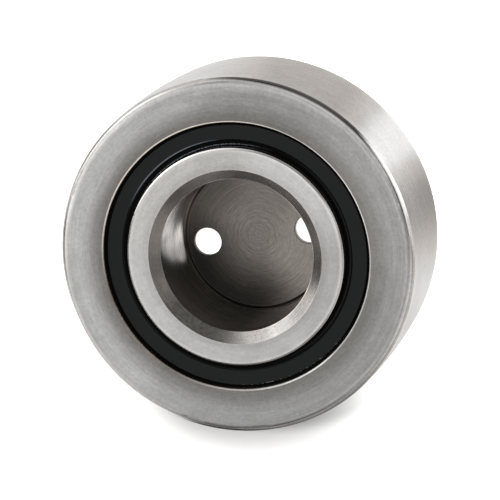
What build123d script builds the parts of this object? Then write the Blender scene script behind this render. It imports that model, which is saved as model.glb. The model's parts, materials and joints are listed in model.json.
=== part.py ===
from build123d import *

import math
import os

# Forklift mast roller: a thick outer ring that rolls in the mast channel, carried by one row of caged balls on a
# hub whose open bore takes the stub shaft. Sizes are in millimetres.
# The axis of the roller is Z and the open bore faces +Z. The origin is the centre of the hub's rear face, on
# which the roller stands, and the two holes of the end disc lie along X.

# Outer ring
tread_diameter = 105.0
ring_width = 40.0
ring_corner_radius = 2.0
tread_crown = 0.5  # fall of the tread from its middle to each end
ring_mouth_chamfer = 0.4

# Hub
bore_diameter = 45.0
hub_proud = 0.6  # height of each hub face over the ring's face
hub_edge_chamfer = 0.5
bore_chamfer_width = 3.1
bore_chamfer_depth = 2.6
rear_recess_depth = 7.7
rear_recess_step = 0.5  # radius of the rear recess over the bore's
rear_recess_chamfer = 1.0

# End disc and its seat in the hub
disc_thickness = 2.0
disc_clearance = 0.03
disc_rim_bevel = 0.7
disc_seat_step = 0.4  # radius of the bore over the seat's
disc_shoulder_width = 1.4
disc_shoulder_height = 2.0
disc_hole_diameter = 8.3
disc_hole_rim = 2.4  # metal between each hole and the disc's rim
disc_hole_chamfer = 0.2

# Balls and raceways
ball_count = 9
ball_diameter = 14.2875
pitch_inset = 1.98  # how far the pitch circle lies inside the middle between bore and tread
race_clearance = 0.08
race_conformity = 0.52  # section radius of a raceway over the ball's diameter
hub_groove_depth = 3.6
ring_groove_depth = 4.0

# Ball cage: two pressed halves, riveted between the balls
cage_thickness = 1.2
cage_side_gap = 0.9
pocket_clearance = 0.15
rivet_diameter = 1.8
rivet_clearance = 0.05
rivet_head_diameter = 3.6
rivet_head_height = 0.8
rivet_head_rounding = 0.4

# Seals and their seats in the outer ring
seal_seat_step = 0.5  # radius of the seal's seat over the land beside the raceway
seal_groove_reach = 0.8
seal_groove_depth = 2.3
seal_groove_width = 1.4
seal_clearance = 0.05
seal_face_depth = 1.5
seal_rim_gap = 1.0
seal_rim_slope = 0.3
seal_recess_width = 2.1
seal_recess_depth = 1.5
seal_lip_drop = 0.3
seal_lip_length = 0.9
seal_lip_root = 1.0
seal_rounding = 0.25
lip_clearance = 0.15

# Radii worked out from the sizes above
tread_radius = tread_diameter / 2
bore_radius = bore_diameter / 2
disc_seat_radius = bore_radius - disc_seat_step
disc_shoulder_radius = disc_seat_radius - disc_shoulder_width
rear_recess_radius = bore_radius + rear_recess_step
ball_radius = ball_diameter / 2
race_radius = race_conformity * ball_diameter
pitch_radius = (bore_radius + tread_radius) / 2 - pitch_inset
hub_race_bottom = pitch_radius - ball_radius - race_clearance
ring_race_bottom = pitch_radius + ball_radius + race_clearance
hub_race_centre = hub_race_bottom + race_radius
ring_race_centre = ring_race_bottom - race_radius
hub_radius = hub_race_bottom + hub_groove_depth
land_radius = ring_race_bottom - ring_groove_depth
seal_seat_radius = land_radius + seal_seat_step
seal_groove_radius = seal_seat_radius + seal_groove_reach

# Heights worked out from the sizes above
ring_rear = hub_proud
ring_front = ring_rear + ring_width
hub_front = ring_front + hub_proud
mid_height = (ring_rear + ring_front) / 2
disc_rear = rear_recess_depth + disc_shoulder_height
disc_front = disc_rear + disc_thickness
mid_plane = Plane.XY.offset(mid_height)
pitch_angle = 360 / ball_count


def turned(section):
    """Turn a flat section, drawn with the radius across and the height up, about the roller's axis."""
    return revolve(Plane.XZ * section, Axis.Z)


def outline(*points):
    """A flat section with straight sides."""
    return make_face(Polyline(*points, close=True))


def block(inner, outer, low, high):
    """The section of a plain ring between two radii and two heights."""
    return Pos(inner, low) * Rectangle(outer - inner, high - low, align=Align.MIN)


def around(first_angle=0.0):
    """One place on the pitch circle for each ball, or for what stands between the balls."""
    places = []
    for index in range(ball_count):
        turn = Rot(0, 0, first_angle + index * pitch_angle)
        places.append(turn * Pos(pitch_radius, 0, mid_height))
    return places


def make_outer_ring():
    """Crowned tread outside; two lands, a raceway and a seal groove by each face inside."""
    tread = ThreePointArc(
        (tread_radius - tread_crown, ring_rear),
        (tread_radius, mid_height),
        (tread_radius - tread_crown, ring_front),
    )
    inside = Polyline(tread @ 1, (land_radius, ring_front), (land_radius, ring_rear), tread @ 0)
    section = make_face(tread + inside)
    section = fillet(section.vertices().group_by(Axis.X)[-1], ring_corner_radius)
    section -= Pos(ring_race_centre, mid_height) * Circle(race_radius)
    seat = seal_seat_section()
    section -= seat
    section -= mirror(seat, Plane.XZ.offset(-mid_height))
    return turned(section)


def seal_seat_section():
    """What is cut from the ring at its front face: the mouth's chamfer, the seal's seat and its groove."""
    groove_top = ring_front - seal_groove_depth
    groove_bottom = groove_top - seal_groove_width
    seat = block(land_radius, seal_seat_radius, groove_bottom, ring_front)
    groove = block(land_radius, seal_groove_radius, groove_bottom, groove_top)
    mouth = outline(
        (seal_seat_radius, ring_front),
        (seal_seat_radius + ring_mouth_chamfer, ring_front),
        (seal_seat_radius, ring_front - ring_mouth_chamfer),
    )
    return seat + groove + mouth


def make_hub():
    """Inner ring: raceway outside; chamfered bore, seat and shoulder of the end disc, and rear recess inside."""
    section = outline(
        (bore_radius + bore_chamfer_width, hub_front),
        (hub_radius - hub_edge_chamfer, hub_front),
        (hub_radius, hub_front - hub_edge_chamfer),
        (hub_radius, hub_edge_chamfer),
        (hub_radius - hub_edge_chamfer, 0),
        (rear_recess_radius + rear_recess_chamfer, 0),
        (rear_recess_radius, rear_recess_chamfer),
        (rear_recess_radius, rear_recess_depth),
        (disc_shoulder_radius, rear_recess_depth),
        (disc_shoulder_radius, disc_rear),
        (disc_seat_radius, disc_rear),
        (disc_seat_radius, disc_front),
        (bore_radius, disc_front),
        (bore_radius, hub_front - bore_chamfer_depth),
    )
    section -= Pos(hub_race_centre, mid_height) * Circle(race_radius)
    return turned(section)


def make_end_disc():
    """Thin disc that closes the bore, with a bevelled rim and two through holes."""
    radius = disc_seat_radius - disc_clearance
    section = outline(
        (0, disc_rear),
        (radius, disc_rear),
        (radius, disc_front - disc_rim_bevel),
        (radius - disc_rim_bevel, disc_front),
        (0, disc_front),
    )
    disc = turned(section)
    hole_radius = disc_hole_diameter / 2
    hole_place = radius - disc_hole_rim - hole_radius
    for side in (-1, 1):
        hole = Cylinder(hole_radius, disc_thickness, align=(Align.CENTER, Align.CENTER, Align.MIN))
        disc -= Pos(side * hole_place, 0, disc_rear) * hole
    rims = disc.edges().filter_by(GeomType.CIRCLE)
    rims = rims.filter_by(lambda edge: math.isclose(edge.radius, hole_radius))
    return chamfer(rims, disc_hole_chamfer)


def make_front_seal():
    """Moulded rubber ring: a bead held in the ring's groove, a flat band, and a lip down to the hub."""
    bead_radius = seal_groove_radius - seal_clearance
    bead_top = ring_front - seal_groove_depth - seal_clearance
    underside = ring_front - seal_groove_depth - seal_groove_width + seal_clearance
    band_outer = seal_seat_radius - seal_rim_gap
    band_inner = hub_radius + seal_recess_width
    band_top = ring_front - seal_face_depth
    lip_radius = hub_radius + lip_clearance
    lip_top = band_top - seal_recess_depth
    section = outline(
        (bead_radius, bead_top),
        (band_outer + seal_rim_slope, bead_top),
        (band_outer, band_top),
        (band_inner, band_top),
        (band_inner, lip_top),
        (lip_radius, lip_top - seal_lip_drop),
        (lip_radius, lip_top - seal_lip_drop - seal_lip_length),
        (lip_radius + seal_lip_root, underside),
        (bead_radius, underside),
    )
    rounded = section.vertices().group_by(Axis.X)[-1] + section.vertices().group_by(Axis.Y)[-1]
    return turned(fillet(rounded, seal_rounding))


def make_cage_half():
    """Front half of the cage: a flat ribbon that is pressed into a cup over each ball."""
    inner_radius = hub_radius + cage_side_gap
    outer_radius = land_radius - cage_side_gap
    pocket_radius = ball_radius + pocket_clearance
    cup_radius = pocket_radius + cage_thickness
    half = turned(block(inner_radius, outer_radius, mid_height, mid_height + cage_thickness))
    ribbon_room = turned(block(inner_radius, outer_radius, mid_height, mid_height + cup_radius))
    for place in around():
        half += ribbon_room & place * Sphere(cup_radius)
    for place in around():
        half -= place * Sphere(pocket_radius)
    for place in around(pitch_angle / 2):
        half -= place * Cylinder(rivet_diameter / 2 + rivet_clearance, 2 * cage_thickness)
    return half


def make_rivet():
    """Rivet about the middle of its shank, with a rounded head on each side of the two cage halves."""
    rivet = Cylinder(rivet_diameter / 2, 2 * cage_thickness)
    head = Cylinder(
        rivet_head_diameter / 2, rivet_head_height, align=(Align.CENTER, Align.CENTER, Align.MIN)
    )
    head = fillet(head.edges().group_by(Axis.Z)[-1], rivet_head_rounding)
    head = Pos(0, 0, cage_thickness) * head
    return rivet + head + mirror(head, Plane.XY)


def make_pieces():
    """Every piece of the roller in its place, by name."""
    front_seal = make_front_seal()
    cage_front = make_cage_half()
    pieces = {
        "outer_ring": make_outer_ring(),
        "hub": make_hub(),
        "end_disc": make_end_disc(),
        "front_seal": front_seal,
        "rear_seal": mirror(front_seal, mid_plane),
        "cage_front": cage_front,
        "cage_rear": mirror(cage_front, mid_plane),
    }
    rivet = make_rivet()
    for index, place in enumerate(around(), start=1):
        pieces[f"ball_{index}"] = place * Sphere(ball_radius)
    for index, place in enumerate(around(pitch_angle / 2), start=1):
        pieces[f"cage_rivet_{index}"] = place * rivet
    return pieces


os.makedirs("parts", exist_ok=True)
for name, piece in make_pieces().items():
    export_step(piece, f"parts/{name}.step")
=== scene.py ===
import json
import math

import bpy
from mathutils import Matrix, Vector

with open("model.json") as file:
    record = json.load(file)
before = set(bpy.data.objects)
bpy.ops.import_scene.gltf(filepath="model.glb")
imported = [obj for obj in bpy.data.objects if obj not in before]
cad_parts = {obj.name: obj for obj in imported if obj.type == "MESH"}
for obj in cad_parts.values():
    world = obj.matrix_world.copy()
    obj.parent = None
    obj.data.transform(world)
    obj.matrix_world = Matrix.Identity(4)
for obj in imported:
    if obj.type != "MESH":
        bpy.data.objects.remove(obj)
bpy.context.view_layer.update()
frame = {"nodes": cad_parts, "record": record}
nodes = frame["nodes"]

# Lengths are in metres and angles in degrees. Radii run from the roller's axis, heights from the hub's rear
# face and azimuths from X, counterclockwise as seen from the open mouth.
MIDDLE_HEIGHT = 0.0206
AXIS_SHARE = 0.71  # how much a step along the axis moves a turning mark, against a step away from it
NOISE_RANGE = (0.3, 0.7)  # nearly all values of a noise texture lie between these
ACROSS_THE_BRUSHING = 0.25  # quarter of a turn, from the brushing to the stretch of its highlights
MIX_FACTOR, MIX_FIRST, MIX_SECOND, MIX_RESULT = 0, 6, 7, 2  # sockets of a Mix node that mixes colours

# The pairs below are where a soft change of the surface starts and ends, or the two edges of a band.

# Outer ring, from the seal's seat to the tread: radii, and two distances from the middle plane
SEAT_WALL = (0.03930, 0.03934)
MOUTH_CHAMFER = (0.03960, 0.03972)
SEAL_SIDE = (0.0395, 0.0470)
LEAN_START = (0.0400, 0.0440)
FACE_OUTER_PART = (0.0475, 0.0490)
RIM = (0.0490, 0.0504)
PAINTED_RIM_SHADE_BAND = (0.0494, 0.0508)
LEAN_END = (0.0496, 0.0506)
TREAD = (0.0502, 0.0518)
ROUNDING = (0.0506, 0.0521)
OUTER_ROUNDING = (0.0512, 0.0516)
ROUNDING_ABOVE_MIDDLE = (0.0179, 0.0181)
MOUTH_ABOVE_MIDDLE = (0.0194, 0.0196)

# Hub, from the bore to its outer edge: radii
BORE_WALL = (0.0226, 0.0227)
BORE_TONE = (0.02252, 0.0226)
CONE_FOOT_CORNER = (0.02251, 0.02268)
CONE_SMOOTH = (0.0254, 0.0260)
CONE = (0.02545, 0.02565)
CONE_TOP_CORNER = (0.02546, 0.02568)
BESIDE_CONE = (0.0262, 0.0282)
FACE_EDGE = (0.0303, 0.0312)
EDGE_CHAMFER = (0.0314, 0.0316)

# Hub, from the end disc to the open mouth: heights
WALL_FOOT = (0.0100, 0.0105)
WALL_LIFT = (0.010, 0.025)
DISC_JOINT = (0.0117, 0.0119)
UPPER_GLARE = (0.0240, 0.0330)
LOWER_GLARE = (0.0260, 0.0350)
SIDE_GLARE = (0.0330, 0.0360)
CONE_FOOT = (0.0380, 0.0385)

# End disc: radii
DISC_RINGS = (0.003, 0.014)
DISC_PAINTED_DEEP_SHADE = (0.001, 0.0195)
DISC_PAINTED_LIGHT = (0.002, 0.012)
DISC_PAINTED_FAINT_SHADE = (0.008, 0.018)
DISC_BEVEL = (0.02125, 0.02140)

# Seals, from the lip to the rim: radii, and one distance from the middle plane
LIP_GLINTS = (0.0323, 0.0326)
LIP_STRIPS = (0.0329, 0.0334)
LIP = (0.0338, 0.0340)
RIDGE = (0.0340, 0.0343)
SEAL_GAP = (0.0380, 0.0385)
SEAL_RIM = (0.03825, 0.03835)
GAP_ABOVE_MIDDLE = (0.0150, 0.0155)

# Dirt, film, rust, a dark brown and painted highlights that aren't plain grey
SEAT_DARK_BROWN = (0.16, 0.125, 0.09, 1.0)
STAIN = (0.17, 0.135, 0.10, 1.0)
BROWN_FILM = (0.30, 0.235, 0.165, 1.0)
RUST = (0.13, 0.085, 0.05, 1.0)
RIDGE_PAINTED_HIGHLIGHT = (0.100, 0.108, 0.125, 1.0)
LIP_PAINTED_GLINT = (0.09, 0.095, 0.11, 1.0)

# Soft round lights in the surroundings, low, halfway up and high: azimuth, elevation, angle to edge, level
SOFT_LIGHTS = (
    (8, 10, 27, 1.35), (116, 12, 31, 0.7), (146, 11, 31, 1.25), (213, 12, 33, 0.5), (267, 12, 34, 0.4),
    (322, 18, 36, 0.45),
    (60, 40, 42, 0.3), (107, 36, 32, 0.35), (152, 40, 36, 0.8), (204, 38, 35, 0.6), (314, 38, 37, 0.5),
    (48, 66, 36, 0.6), (198, 63, 34, 0.9), (285, 56, 28, 0.3),
)
LIGHT_CORE = 0.996  # cosine of the angle from a light's middle up to which it has its full level
LOW_SKY = (0.30, 0.75)  # sines of the elevations between which the light turns from warm to neutral

# Light that metal sees in the floor, beside the roller and further off: azimuth, angle that is fully lit,
# angle to the edge, level. The plain level is there in every direction.
NEAR_FLOOR = (
    (-40, 4, 32, 0.4), (-20, 0, 22, 0.12), (5, 0, 16, -0.12), (28, 0, 22, 0.35), (28, 0, 12, 0.4),
    (64, 0, 30, 0.1), (114, 0, 40, 0.45), (262, 15, 36, -0.5),
)
NEAR_LEVEL = 0.55
FAR_FLOOR = (
    (18, 6, 21, 1.8), (0, 5, 16, 0.45), (-32, 10, 42, 0.6), (-80, 10, 30, 0.2), (66, 15, 35, 0.15),
    (118, 5, 28, 0.75), (150, 8, 26, 0.5), (182, 10, 30, 0.95), (216, 12, 26, 1.35),
)
FAR_LEVEL = 0.04
NEAR_TO_FAR = (0.070, 0.095)
WARM_FLOOR = (0.75, 1.05)  # levels between which the floor's light turns from warm to neutral

FLOOR_SIZE = 6.0
FLOOR_DROP = 0.0001  # keeps the floor clear of the hub's rear face
UNDER_THE_BORE = (0.0228, 0.0232)
UNDER_THE_RING = (0.0508, 0.0516)
SHADOW_OFFSET = 0.0136
SHADOW_CORE = (0.0490, 0.0512)
SHADOW_TAIL = (0.0530, 0.0625)
TAIL_EDGE, TAIL_FULL = 54, 14  # angles from the middle of the tail
DEEP, TAIL_DEEP = 0.96, 0.92  # how much of the floor's own light the shadow takes away
PAINTED_SHADOW_RADII = (0.0600, 0.0650)

CAMERA_TARGET = (0.004768, 0.00157, 0.0406)
CAMERA_AZIMUTH, CAMERA_ELEVATION, CAMERA_ROLL = 35.213, 71.454, -133.527
CAMERA_DISTANCE = 0.91161
LENS_MM, SENSOR_MM = 229.46, 36.0


def grey(value, warmth=0.0):
    return (value * (1 + warmth), value, value * (1 - warmth), 1.0)


def cosine(degrees):
    return math.cos(math.radians(degrees))


def aim(azimuth, elevation):
    turn, lift = math.radians(azimuth), math.radians(elevation)
    return Vector((math.cos(turn) * math.cos(lift), math.sin(turn) * math.cos(lift), math.sin(lift)))


class Graph:
    """Builds a node tree from plain calls. A value is a number, a colour or another node's output."""

    def __init__(self, tree):
        self.tree = tree
        tree.nodes.clear()

    def add(self, kind, inputs=None, **settings):
        node = self.tree.nodes.new("ShaderNode" + kind)
        for name, value in settings.items():
            setattr(node, name, value)
        for socket, value in (inputs or {}).items():
            self.put(node.inputs[socket], value)
        return node

    def put(self, socket, value):
        if isinstance(value, bpy.types.NodeSocket):
            self.tree.links.new(value, socket)
        else:
            socket.default_value = value

    def math(self, operation, *values):
        return self.add("Math", dict(enumerate(values)), operation=operation).outputs[0]

    def chain(self, operation, values):
        total = values[0]
        for value in values[1:]:
            total = self.math(operation, total, value)
        return total

    def times(self, *values):
        return self.chain("MULTIPLY", values)

    def plus(self, *values):
        return self.chain("ADD", values)

    def most(self, *values):
        return self.chain("MAXIMUM", values)

    def minus(self, first, second):
        return self.math("SUBTRACT", first, second)

    def less(self, value):
        """What is left of 1."""
        return self.minus(1.0, value)

    def vector(self, operation, *values):
        node = self.add("VectorMath", dict(enumerate(values)), operation=operation)
        return node.outputs["Value" if operation in ("LENGTH", "DISTANCE", "DOT_PRODUCT") else "Vector"]

    def combine(self, x, y, z):
        return self.add("CombineXYZ", {0: x, 1: y, 2: z}).outputs[0]

    def scale(self, value, low, high, first, last, **settings):
        """Straight change from first to last while value goes from low to high."""
        inputs = {"Value": value, "From Min": low, "From Max": high, "To Min": first, "To Max": last}
        return self.add("MapRange", inputs, **settings).outputs[0]

    def step(self, value, low, high, first=0.0, last=1.0):
        """Smooth change from first to last while value goes from low to high."""
        return self.scale(value, low, high, first, last, interpolation_type="SMOOTHSTEP")

    def fall(self, value, low, high, first=1.0):
        """Smooth fall from first to 0 while value goes from low to high."""
        return self.step(value, low, high, first, 0.0)

    def noise(self, vector, scale, detail, roughness=0.5):
        inputs = {"Vector": vector, "Scale": scale, "Detail": detail, "Roughness": roughness}
        return self.add("TexNoise", inputs).outputs["Fac"]

    def around_one(self, value, swing):
        """A noise value as a factor between 1 - swing and 1 + swing."""
        return self.scale(value, *NOISE_RANGE, 1.0 - swing, 1.0 + swing)

    def around_zero(self, value, swing):
        """A noise value as a number between -swing and swing."""
        return self.scale(value, *NOISE_RANGE, -swing, swing)

    def specks(self, vector, spacing, size, share):
        """Small round specks: their spacing and radius, and the share of the places that has one."""
        cells = self.add("TexVoronoi", {"Vector": vector, "Scale": 1.0 / spacing})
        dot = self.fall(cells.outputs["Distance"], 0.5 * size / spacing, size / spacing)
        chance = self.add("SeparateXYZ", {0: cells.outputs["Color"]}).outputs[0]
        return self.times(dot, self.step(chance, 1.0 - share, 1.001 - share))

    def mix(self, share, first, second):
        node = self.add("Mix", data_type="RGBA")
        for socket, value in ((MIX_FACTOR, share), (MIX_FIRST, first), (MIX_SECOND, second)):
            self.put(node.inputs[socket], value)
        return node.outputs[MIX_RESULT]

    def tint(self, colour, amount):
        """A colour or a vector, times a plain number."""
        return self.vector("MULTIPLY", colour, self.combine(amount, amount, amount))


class Surface(Graph):
    """A material with the roller's own coordinates: radius, height and direction about its axis."""

    def __init__(self, name):
        self.material = bpy.data.materials.new(name)
        self.material.use_nodes = True
        super().__init__(self.material.node_tree)
        self.place = self.add("TexCoord").outputs["Object"]
        x, y, self.height = self.add("SeparateXYZ", {0: self.place}).outputs
        self.flat = self.combine(x, y, 0.0)
        self.radius = self.vector("LENGTH", self.flat)
        self.direction = self.vector("NORMALIZE", self.flat)

    def band(self, low, high, soft=0.0002):
        """1 between two radii, 0 elsewhere."""
        rise = self.step(self.radius, low - soft, low + soft)
        return self.times(rise, self.fall(self.radius, high - soft, high + soft))

    def turning(self, scale, length, detail=3.0):
        """Noise drawn out into marks that run round the axis. length is how far round they reach."""
        across = self.math("MULTIPLY_ADD", self.height, AXIS_SHARE, self.radius)
        around = self.tint(self.direction, length)
        lift = self.combine(0.0, 0.0, across)
        return self.noise(self.vector("ADD", around, lift), scale, detail, 0.6)

    def sector(self, azimuth, full, edge):
        """1 within full degrees of the azimuth, falling to 0 at edge degrees."""
        toward = self.vector("DOT_PRODUCT", self.direction, tuple(aim(azimuth, 0)))
        return self.step(toward, cosine(edge), cosine(full))

    def bump(self, height, distance, normal=None):
        inputs = {"Height": height, "Distance": distance, "Strength": 1.0}
        if normal:
            inputs["Normal"] = normal
        return self.add("Bump", inputs).outputs[0]

    def over_middle(self):
        return self.minus(self.height, MIDDLE_HEIGHT)

    def from_middle(self):
        """Distance from the roller's middle plane."""
        return self.math("ABSOLUTE", self.over_middle())

    def end(self):
        """1 in the front half of the roller, -1 in the rear half."""
        return self.math("SIGN", self.over_middle())

    def leaning(self, outward, amount):
        """The surface's own direction, tilted away from the axis and, by amount, to the nearer end."""
        own = self.add("NewGeometry").outputs["Normal"]
        tilted = self.vector("ADD", own, self.tint(self.direction, outward))
        lift = self.combine(0.0, 0.0, self.times(amount, self.end()))
        return self.vector("NORMALIZE", self.vector("ADD", tilted, lift))

    def finish(self, **inputs):
        names = {name.replace("_", " "): value for name, value in inputs.items()}
        shader = self.add("BsdfPrincipled", names)
        output = self.add("OutputMaterial")
        self.tree.links.new(shader.outputs[0], output.inputs[0])
        return self.material

    def brushed_metal(self, colour, rough, normal, stretch):
        """Bare metal whose highlights are stretched by brushing round the axis."""
        tangent = self.add("Tangent", direction_type="RADIAL", axis="Z").outputs[0]
        return self.finish(Base_Color=colour, Metallic=1.0, Roughness=rough, Normal=normal, Tangent=tangent,
                           Anisotropic=stretch, Anisotropic_Rotation=ACROSS_THE_BRUSHING)


def ring_steel():
    """Brushed faces with painted shade towards the seal and on some sides, a lighter tread, painted
    highlights and shade on the mouth and rounding, and a dark brown seat beside the seal.
    """
    s = Surface("ring_steel")
    grain = s.noise(s.place, 1100.0, 5.0, 0.7)
    fine = s.turning(2600.0, 0.0018)
    broad = s.turning(600.0, 0.004)
    hair = s.turning(5200.0, 0.0011, 2.0)
    blotch = s.noise(s.place, 170.0, 3.0, 0.6)

    # Painted shade: the face darkens towards the seal, less round azimuth 165.
    painted_seal_side_shade = s.mix(s.sector(165, 10, 110), grey(0.25, 0.05), grey(0.19, 0.06))
    face = s.mix(s.sector(15, 45, 115), grey(0.455, 0.002), grey(0.455, 0.022))
    face = s.mix(s.fall(s.radius, *SEAL_SIDE), face, painted_seal_side_shade)
    face = s.mix(s.step(s.radius, *RIM), face, grey(0.62, 0.015))
    tread = s.step(s.radius, *TREAD)
    colour = s.mix(tread, face, grey(0.65, 0.01))
    corner = s.times(s.step(s.radius, *OUTER_ROUNDING), s.step(s.from_middle(), *ROUNDING_ABOVE_MIDDLE))
    # Painted shade: the outer rounding is dark round azimuths 58 and 148.
    painted_rounding_shade = s.plus(s.times(s.sector(58, 10, 34), 0.5), s.times(s.sector(148, 18, 42), 0.35))
    colour = s.mix(s.times(corner, painted_rounding_shade), colour, grey(0.15, 0.02))

    mouth = s.times(s.fall(s.radius, *MOUTH_CHAMFER), s.step(s.from_middle(), *MOUTH_ABOVE_MIDDLE))
    # Painted highlights and shade: the mouth chamfer is lighter or darker round some azimuths.
    chamfer = s.mix(s.sector(330, 18, 45), grey(0.72, 0.06), grey(0.45, 0.01))
    chamfer = s.mix(s.sector(288, 6, 22), chamfer, grey(0.98))
    chamfer = s.mix(s.sector(212, 15, 45), chamfer, grey(0.28, 0.10))
    chamfer = s.mix(s.sector(112, 30, 60), chamfer, grey(0.90, 0.10))
    colour = s.mix(mouth, colour, chamfer)
    seat = s.fall(s.radius, *SEAT_WALL)
    colour = s.mix(seat, colour, SEAT_DARK_BROWN)
    # Painted highlight: the seat is lighter round azimuth 305.
    colour = s.mix(s.times(seat, s.sector(305, 30, 65), 0.8), colour, grey(0.5, 0.02))
    grit = s.times(seat, s.step(s.noise(s.place, 2600.0, 1.0), 0.56, 0.66), s.sector(215, 25, 55))
    colour = s.mix(grit, colour, grey(0.4, 0.1))

    flecks = s.times(s.specks(s.place, 0.0032, 0.00022, 0.2), 0.3)
    brushing = s.times(s.around_one(fine, 0.08), s.around_one(broad, 0.07))
    even = s.times(tread, 0.7)
    brushing = s.plus(s.times(brushing, s.less(even)), even)
    # Painted shade on the rim and the face round some azimuths.
    painted_rim_shade = s.times(s.band(*PAINTED_RIM_SHADE_BAND, 0.0004), s.sector(232, 45, 80), 0.22)
    painted_ring_face_shade = s.times(s.less(tread), s.sector(288, 35, 70), 0.14)
    painted_patch_shade = s.times(s.fall(s.radius, *FACE_OUTER_PART), s.sector(70, 12, 32), 0.17)
    shade = s.times(s.around_one(grain, 0.13), s.around_one(hair, 0.07), brushing, s.around_one(blotch, 0.05),
                    s.less(flecks), s.less(painted_rim_shade), s.less(painted_ring_face_shade), s.less(painted_patch_shade))
    colour = s.tint(colour, shade)

    rough = s.scale(fine, *NOISE_RANGE, 0.31, 0.37)
    rough = s.minus(s.minus(rough, s.times(s.band(*ROUNDING), 0.13)), s.times(tread, 0.06))
    upright = s.plus(1.6, s.times(s.sector(112, 30, 60), 4.0))
    lean = s.times(s.step(s.radius, *LEAN_START, 0.0, 0.045), s.fall(s.radius, *LEAN_END))
    normal = s.bump(fine, 0.000004, s.leaning(lean, s.times(mouth, upright)))
    return s.brushed_metal(colour, rough, normal, 0.5)


def hub_steel():
    """Ground face and edge, a smoother, stained cone at the bore's mouth, and a turned bore, all with painted
    highlights and shade in places.
    """
    s = Surface("hub_steel")
    grain = s.noise(s.place, 1000.0, 5.0, 0.7)
    mottle = s.noise(s.place, 2200.0, 3.0, 0.7)
    blotch = s.noise(s.place, 300.0, 3.0, 0.6)
    fine = s.turning(2400.0, 0.0025)
    lines = s.turning(1900.0, 0.0016)

    inside = s.fall(s.radius, *CONE)
    front = s.step(s.height, *CONE_FOOT)
    cone = s.times(inside, front)
    bore = s.fall(s.radius, *BORE_WALL)
    wall = s.times(bore, s.step(s.height, *WALL_FOOT))
    foot = s.times(bore, s.fall(s.height, *DISC_JOINT))
    edge = s.step(s.radius, *EDGE_CHAMFER)

    face = s.mix(s.sector(118, 30, 75), grey(0.56, 0.012), grey(0.56, 0.03))
    inner = s.mix(s.sector(292, 10, 34), grey(0.43, 0.03), grey(0.43, -0.01))
    colour = s.mix(inside, face, inner)
    colour = s.mix(s.fall(s.radius, *BORE_TONE), colour, grey(0.385, 0.05))
    stain = s.times(cone, s.step(s.noise(s.place, 900.0, 4.0, 0.7), 0.42, 0.62), s.sector(226, 12, 32))
    colour = s.mix(s.times(stain, 0.5), colour, STAIN)
    film = s.times(cone, s.step(s.noise(s.place, 700.0, 3.0, 0.6), 0.38, 0.60), s.sector(-5, 4, 20))
    colour = s.mix(s.times(film, 0.7), colour, BROWN_FILM)
    # Painted shade: the cone is dark round azimuth 160.
    colour = s.mix(s.times(cone, s.sector(160, 32, 68), 0.9), colour, grey(0.18, 0.06))
    # Painted highlights: the cone is lighter round azimuths 346 and 270.
    painted_cone_light = s.plus(s.times(s.sector(346, 12, 34), 0.65), s.times(s.sector(270, 4, 26), 0.35))
    painted_cone_highlight = s.times(cone, painted_cone_light)
    colour = s.mix(s.times(painted_cone_highlight, 1.6), colour, grey(0.42, 0.03))
    rust = s.times(cone, s.specks(s.place, 0.0010, 0.00024, 0.5), s.sector(-78, 12, 48))
    colour = s.mix(s.times(rust, 0.6), colour, RUST)
    # Painted highlight: the hub's edge chamfer is near white round azimuth 145.
    colour = s.mix(edge, colour, s.mix(s.sector(145, 60, 88), grey(0.46, 0.01), grey(0.97, 0.01)))
    # Painted highlights: light lines along the cone's two edges, left out round azimuth 205.
    corners = s.plus(s.band(*CONE_TOP_CORNER, 0.00004), s.band(*CONE_FOOT_CORNER, 0.00004))
    corners = s.times(front, corners, s.less(s.sector(205, 40, 75)))
    colour = s.mix(s.times(corners, 0.35), colour, grey(0.72, 0.14))
    nick = s.vector("DISTANCE", s.place, (-0.02755, 0.01595, 0.0409))
    colour = s.mix(s.fall(nick, 0.0002, 0.0005, 0.8), colour, grey(0.10, 0.08))
    # Painted shade: the bore wall in the gap at the end disc is near black, blackest round azimuth 165.
    colour = s.mix(foot, colour, s.mix(s.sector(165, 30, 80), grey(0.03, 0.1), grey(0.12, 0.1)))

    flecks = s.times(s.specks(s.place, 0.0021, 0.0002, 0.3), 0.3)
    glare = s.plus(
        s.times(s.step(s.height, *UPPER_GLARE), s.sector(147, 6, 18), 1.3),
        s.times(s.fall(s.height, *LOWER_GLARE), s.sector(157, 6, 24), 0.9),
        s.times(s.sector(290, 10, 32), s.fall(s.height, *SIDE_GLARE)),
    )
    # Painted light and shade: the hub is lighter round azimuth 40, and the face inside its edge and the cone
    # are shaded round azimuths 345 and 238.
    painted_lighter_side = s.times(s.sector(40, 15, 45), 0.2)
    painted_hub_face_shade = s.times(s.sector(345, 15, 50), s.fall(s.radius, *FACE_EDGE, 0.15))
    painted_cone_shade = s.times(cone, s.sector(238, 8, 34), 0.4)
    beside = s.times(s.less(inside), s.fall(s.radius, *BESIDE_CONE, 0.13))
    shade = s.times(
        s.around_one(grain, 0.09), s.around_one(fine, 0.07), s.around_one(blotch, 0.06), s.less(flecks),
        s.plus(1.0, s.times(wall, s.around_zero(lines, 0.3))),
        s.plus(1.0, s.times(cone, s.around_zero(lines, 0.12))),
        s.plus(1.0, s.times(cone, s.around_zero(mottle, 0.16))),
        s.plus(1.0, s.times(wall, glare)),
        s.less(painted_cone_shade), s.plus(1.0, painted_cone_highlight), s.plus(1.0, painted_lighter_side), s.less(painted_hub_face_shade),
        s.step(s.radius, *FACE_EDGE, 1.0, 1.18), s.less(beside),
    )
    colour = s.tint(colour, shade)

    rough = s.scale(fine, *NOISE_RANGE, 0.33, 0.39)
    rough = s.minus(s.minus(rough, s.times(s.fall(s.radius, *CONE_SMOOTH), 0.12)), s.times(edge, 0.15))
    rise = s.times(wall, s.fall(s.height, *WALL_LIFT, 0.45))
    lift = s.plus(s.times(rise, s.end()), s.times(corners, 0.3), s.times(edge, 0.2))
    normal = s.bump(fine, 0.000004, s.leaning(0.0, lift))
    return s.brushed_metal(colour, rough, normal, 0.5)


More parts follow.
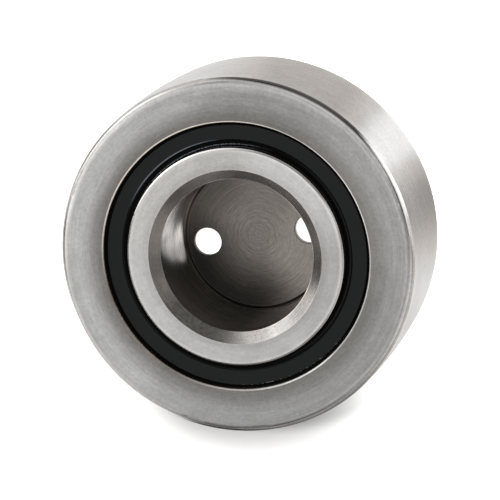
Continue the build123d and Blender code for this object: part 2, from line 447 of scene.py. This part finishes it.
def disc_steel():
    """Turned plate: rings about a point near its centre, with fainter arcs from a second cut beside it."""
    s = Surface("disc_steel")
    fine = s.turning(3800.0, 0.0008, 4.0)
    mottle = s.noise(s.place, 1500.0, 4.0, 0.7)
    middle = s.vector("DISTANCE", s.flat, (0.0002, 0.0006, 0.0))
    rings = s.around_zero(s.noise(s.combine(middle, 0.0, 0.0), 2000.0, 4.0, 0.75), 0.36)
    rings = s.plus(1.0, s.times(rings, s.step(middle, *DISC_RINGS, 1.0, 0.4)))
    aside = s.vector("DISTANCE", s.flat, (0.0016, -0.0010, 0.0))
    arcs = s.noise(s.combine(aside, 0.0, 0.0), 1300.0, 3.0, 0.6)

    # Painted shade round azimuths 228 and 132, and painted light round azimuth 335.
    painted_deep_shade = s.times(s.sector(228, 20, 88), s.step(s.radius, *DISC_PAINTED_DEEP_SHADE), 0.80)
    painted_faint_shade = s.times(s.sector(132, 16, 50), s.step(s.radius, *DISC_PAINTED_FAINT_SHADE), 0.25)
    painted_light_patch = s.times(s.sector(335, 20, 75), s.step(s.radius, *DISC_PAINTED_LIGHT), 0.30)
    shade = s.times(s.around_one(fine, 0.20), s.around_one(arcs, 0.10), s.around_one(mottle, 0.12), rings,
                    s.less(painted_deep_shade), s.less(painted_faint_shade), s.plus(1.0, painted_light_patch))
    plate = s.tint(grey(0.225, 0.095)[:3], shade)
    # Painted light and shade on the plate's bevel: a light line, dark round azimuth 165.
    bevel = s.mix(s.sector(165, 10, 55), grey(0.15, 0.08), grey(0.3, 0.08))
    colour = s.mix(s.step(s.radius, *DISC_BEVEL), plate, bevel)
    return s.brushed_metal(colour, 0.40, s.bump(fine, 0.00001), 0.4)


def seal_rubber():
    """Matt black rubber, glossier along the ridge by its lip, with painted highlights there, painted shade in
    the recess by the lip and in the gap beside the ring, and dust in that gap.
    """
    s = Surface("seal_rubber")
    grain = s.noise(s.place, 3000.0, 3.0, 0.6)
    lip = s.fall(s.radius, *LIP)
    ridge = s.band(*RIDGE, 0.0001)
    gap = s.times(s.band(*SEAL_GAP, 0.0001), s.step(s.from_middle(), *GAP_ABOVE_MIDDLE))

    # Painted shade: the lip's recess and the rim by the gap are near black.
    colour = s.mix(lip, grey(0.0098, -0.03), grey(0.001))
    colour = s.mix(s.step(s.radius, *SEAL_RIM), colour, grey(0.001))
    colour = s.tint(colour, s.around_one(grain, 0.1))
    dust = s.times(gap, s.specks(s.place, 0.0014, 0.00016, 0.35), s.sector(-102, 30, 50))
    dashes = s.times(gap, s.step(s.noise(s.place, 1500.0, 2.0), 0.56, 0.62), s.sector(-72, 16, 30), 0.5)
    colour = s.mix(s.most(dust, dashes), colour, grey(0.20, 0.02))
    # Painted highlights: the ridge shines round azimuth 118, and the lip glints round azimuth 105.
    colour = s.mix(s.times(ridge, s.sector(118, 5, 32)), colour, RIDGE_PAINTED_HIGHLIGHT)
    glints = s.times(s.band(*LIP_GLINTS, 0.00008), s.step(grain, 0.42, 0.58), s.sector(105, 15, 45))
    colour = s.mix(glints, colour, LIP_PAINTED_GLINT)
    # Painted light: the lip shows lighter strips round azimuth 350.
    strips = s.times(lip, s.band(*LIP_STRIPS, 0.0001), s.sector(350, 20, 80))
    colour = s.mix(strips, colour, grey(0.008))
    rough = s.minus(0.55, s.times(ridge, 0.3))
    normal = s.bump(grain, 0.000006)
    return s.finish(Base_Color=colour, Roughness=rough, Normal=normal, Specular_IOR_Level=0.05)


def cage_steel():
    s = Surface("cage_steel")
    grain = s.noise(s.place, 900.0, 3.0, 0.6)
    colour = s.tint(grey(0.45, 0.02)[:3], s.around_one(grain, 0.15))
    return s.finish(Base_Color=colour, Metallic=1.0, Roughness=0.35, Normal=s.bump(grain, 0.00001))


def ball_steel():
    s = Surface("ball_steel")
    grain = s.noise(s.place, 1200.0, 2.0)
    colour = s.tint(grey(0.72)[:3], s.around_one(grain, 0.03))
    return s.finish(Base_Color=colour, Metallic=1.0, Roughness=0.08)


def surroundings():
    """Soft lights all round, which the camera sees as a plain white background."""
    world = bpy.data.worlds.new("studio")
    world.use_nodes = True
    bpy.context.scene.world = world
    g = Graph(world.node_tree)
    way = g.add("TexCoord").outputs["Generated"]
    lights = []
    for azimuth, elevation, edge, level in SOFT_LIGHTS:
        near = g.vector("DOT_PRODUCT", way, tuple(aim(azimuth, elevation)))
        lights.append(g.step(near, cosine(edge), LIGHT_CORE, 0.0, level))
    low = g.fall(g.add("SeparateXYZ", {0: way}).outputs[2], *LOW_SKY)
    tone = g.mix(low, grey(1.0), grey(1.0, 0.04))
    lit = g.add("Background", {"Color": tone, "Strength": g.plus(*lights)})
    white = g.add("Background", {"Color": grey(1.0), "Strength": 1.0})
    seen = g.add("LightPath").outputs["Is Camera Ray"]
    mixed = g.add("MixShader", {0: seen, 1: lit.outputs[0], 2: white.outputs[0]})
    out = g.add("OutputWorld")
    g.tree.links.new(mixed.outputs[0], out.inputs[0])


def floor():
    """White floor with a painted shadow beside the roller. It glows for the camera except in the roller's
    shadow, has its own light levels for metal, and is clear from below."""
    bpy.ops.mesh.primitive_plane_add(size=FLOOR_SIZE, location=(0.0, 0.0, -FLOOR_DROP))
    plane = bpy.context.object
    plane.name = "floor"
    s = Surface("floor")
    path = s.add("LightPath").outputs
    under_bore = s.fall(s.radius, *UNDER_THE_BORE)

    offset = s.vector("SUBTRACT", s.place, tuple(aim(215, 0) * SHADOW_OFFSET))
    reach = s.vector("LENGTH", offset)
    toward = s.vector("DOT_PRODUCT", s.vector("NORMALIZE", offset), tuple(aim(265, 0)))
    tail = s.step(toward, cosine(TAIL_EDGE), cosine(TAIL_FULL), 0.0, TAIL_DEEP)
    tail = s.times(tail, s.step(reach, *SHADOW_TAIL, 1.0, 0.8))
    core = s.fall(reach, *SHADOW_CORE, DEEP)
    beneath = s.fall(s.radius, *UNDER_THE_RING, DEEP)
    glow = s.most(under_bore, s.less(s.most(tail, core, beneath)))
    direct = s.most(path["Is Camera Ray"], path["Is Transmission Ray"])
    seen = s.add("Emission", {"Strength": s.times(direct, glow)})
    # Painted shadow: the floor's colour is dark beside the roller round azimuth 262.
    painted_shadow = s.times(s.sector(262, 8, 46), s.fall(s.radius, *PAINTED_SHADOW_RADII, 0.55))
    card = s.add("BsdfDiffuse", {"Color": s.mix(painted_shadow, grey(0.8), grey(0.1))})
    lit = s.add("AddShader", {0: seen.outputs[0], 1: card.outputs[0]})

    levels = []
    for rows, plain in ((NEAR_FLOOR, NEAR_LEVEL), (FAR_FLOOR, FAR_LEVEL)):
        lights = [s.times(s.sector(azimuth, full, edge), level) for azimuth, full, edge, level in rows]
        levels.append(s.plus(*lights, plain))
    outward = s.step(s.radius, *NEAR_TO_FAR)
    level = s.plus(s.times(s.less(outward), levels[0]), s.times(outward, levels[1]))
    glossy = s.most(under_bore, level)
    tone = s.mix(s.step(glossy, *WARM_FLOOR), grey(1.0, 0.05), grey(1.0))
    reflected = s.add("Emission", {"Color": tone, "Strength": glossy})
    both = s.add("MixShader", {0: path["Is Glossy Ray"], 1: lit.outputs[0], 2: reflected.outputs[0]})

    back = s.add("NewGeometry").outputs["Backfacing"]
    clear = s.add("BsdfTransparent")
    sided = s.add("MixShader", {0: back, 1: both.outputs[0], 2: clear.outputs[0]})
    out = s.add("OutputMaterial")
    s.tree.links.new(sided.outputs[0], out.inputs[0])
    plane.data.materials.append(s.material)


def place(name, data, matrix):
    thing = bpy.data.objects.new(name, data)
    thing.matrix_world = matrix
    bpy.context.scene.collection.objects.link(thing)
    return thing


def facing(way):
    """The turn that points a lamp or a camera back along way."""
    return way.to_track_quat("Z", "Y").to_matrix().to_4x4()


def key_lamp():
    """Wide lamp on the open side, which lights rubber and floor. Metal doesn't reflect it."""
    lamp = bpy.data.lights.new("key", "AREA")
    lamp.shape = "RECTANGLE"
    lamp.size = 0.5
    lamp.size_y = 0.3
    lamp.energy = 8.8
    way = aim(55, 64)
    distance = 0.9
    thing = place("key", lamp, Matrix.Translation(way * distance) @ facing(way))
    thing.visible_glossy = False


def camera():
    lens = bpy.data.cameras.new("camera")
    lens.lens = LENS_MM
    lens.sensor_width = SENSOR_MM
    lens.clip_start = 0.01
    way = aim(CAMERA_AZIMUTH, CAMERA_ELEVATION)
    turn = facing(way) @ Matrix.Rotation(math.radians(CAMERA_ROLL), 4, "Z")
    position = Vector(CAMERA_TARGET) + way * CAMERA_DISTANCE
    bpy.context.scene.camera = place("camera", lens, Matrix.Translation(position) @ turn)


MAKERS = (ring_steel, hub_steel, disc_steel, seal_rubber, cage_steel, ball_steel)
materials = {make.__name__: make() for make in MAKERS}
for part in frame["record"]["subparts"]:
    node = nodes[part["node"]]
    node.data.materials.clear()
    node.data.materials.append(materials[part["material_slot"]])

surroundings()
floor()
key_lamp()
camera()
bpy.context.scene.view_settings.view_transform = "Standard"
